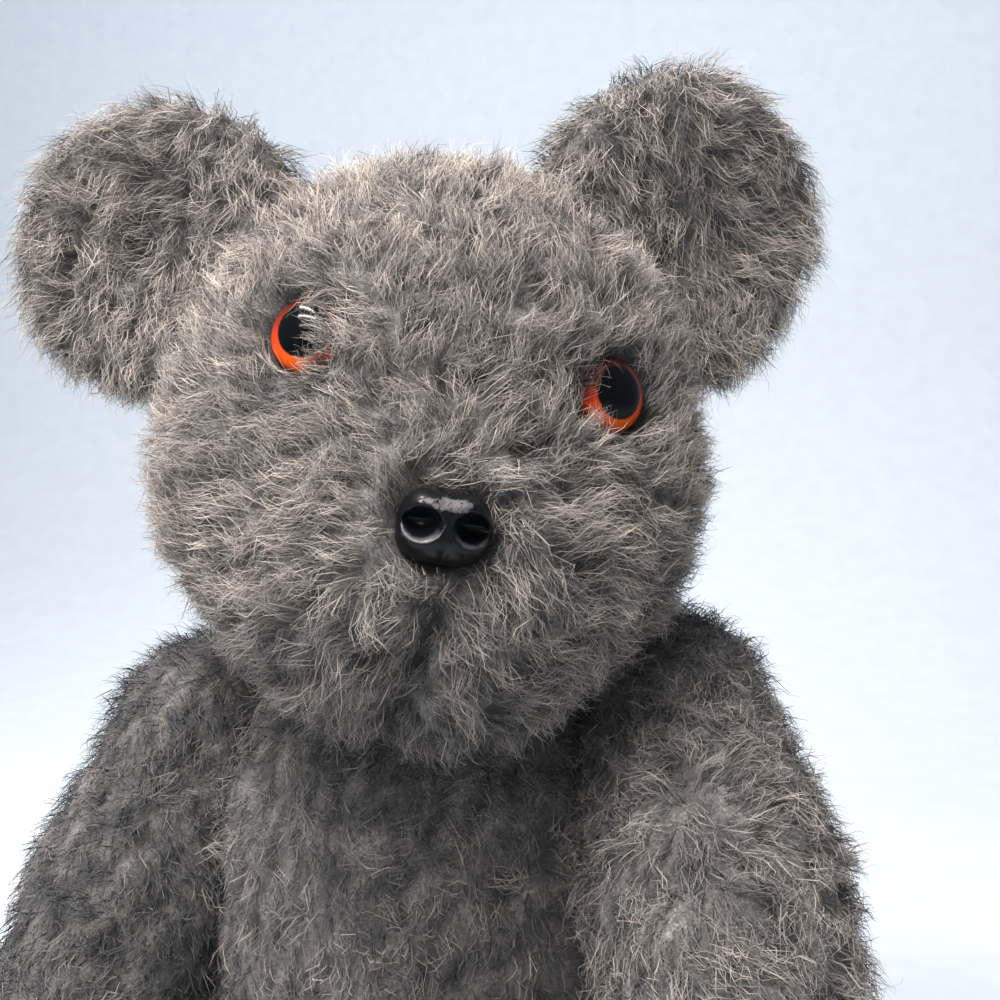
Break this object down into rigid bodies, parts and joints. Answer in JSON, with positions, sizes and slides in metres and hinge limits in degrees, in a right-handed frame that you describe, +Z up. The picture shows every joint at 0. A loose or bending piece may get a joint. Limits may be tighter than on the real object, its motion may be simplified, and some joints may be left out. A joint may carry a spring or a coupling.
{
  "type": "threadbare teddy bear",
  "caption": "Sitting stuffed toy bear in worn grey curly wool pile, with a leaning head, cupped ears, amber eyes, a black moulded nose and disc-jointed limbs.",
  "frame": {"origin": "centre of the flat underside of the seat, on the surface the bear sits on", "axes": "+Z up through the body, the face and feet toward -Y, the bear's own left toward +X"},
  "size_m": [0.2032, 0.1851, 0.309],
  "materials": {
    "pile": "matted curly wool pile, worn and dusty, grey tips over dark roots",
    "felt": "rubbed wool felt",
    "amber": "clear amber moulding, fine scratches",
    "black_plastic": "gloss black moulding, chipped on the brow of the nose",
    "hardboard": "pressed brown board",
    "steel": "dull plain steel"
  },
  "bodies": {
    "body": {"body": "pile", "disc_neck_body": "hardboard", "disc_shoulder_left_body": "hardboard", "disc_shoulder_right_body": "hardboard", "disc_hip_left_body": "hardboard", "disc_hip_right_body": "hardboard", "washer_neck_body": "steel", "washer_shoulder_left_body": "steel", "washer_shoulder_right_body": "steel", "washer_hip_left_body": "steel", "washer_hip_right_body": "steel"},
    "head": {"head": "pile", "ear_left": "pile", "ear_right": "pile", "eye_left_lens": "amber", "eye_left_pupil": "black_plastic", "eye_left_washer": "steel", "eye_right_lens": "amber", "eye_right_pupil": "black_plastic", "eye_right_washer": "steel", "nose": "black_plastic", "nose_washer": "steel", "disc_neck_limb": "hardboard", "washer_neck_limb": "steel", "pin_neck": "steel"},
    "arm_left": {"arm_left": "pile", "paw_pad_left": "felt", "disc_shoulder_left_limb": "hardboard", "washer_shoulder_left_limb": "steel", "pin_shoulder_left": "steel"},
    "arm_right": {"arm_right": "pile", "paw_pad_right": "felt", "disc_shoulder_right_limb": "hardboard", "washer_shoulder_right_limb": "steel", "pin_shoulder_right": "steel"},
    "leg_left": {"leg_left": "pile", "foot_pad_left": "felt", "disc_hip_left_limb": "hardboard", "washer_hip_left_limb": "steel", "pin_hip_left": "steel"},
    "leg_right": {"leg_right": "pile", "foot_pad_right": "felt", "disc_hip_right_limb": "hardboard", "washer_hip_right_limb": "steel", "pin_hip_right": "steel"}
  },
  "joints": [
    {"name": "neck_turn", "type": "hinge", "parent": "body", "child": "head", "pos_m": [0.001, -0.0075, 0.1555], "axis": [0.1022, 0.0217, 0.9945], "range_deg": [-60, 18]},
    {"name": "shoulder_left_swing", "type": "hinge", "parent": "body", "child": "arm_left", "pos_m": [0.042, -0.001, 0.137], "axis": [-0.9455, 0, -0.3256], "range_deg": [-18, 32]},
    {"name": "shoulder_right_swing", "type": "hinge", "parent": "body", "child": "arm_right", "pos_m": [-0.042, -0.001, 0.131], "axis": [-0.9848, 0, 0.1736], "range_deg": [-8, 50]},
    {"name": "hip_left_swing", "type": "hinge", "parent": "body", "child": "leg_left", "pos_m": [0.04, -0.006, 0.0245], "axis": [-0.9903, -0.1392, 0], "range_deg": [-95, 9]},
    {"name": "hip_right_swing", "type": "hinge", "parent": "body", "child": "leg_right", "pos_m": [-0.04, -0.006, 0.0245], "axis": [-0.9903, 0.1392, 0], "range_deg": [-95, 9]}
  ]
}
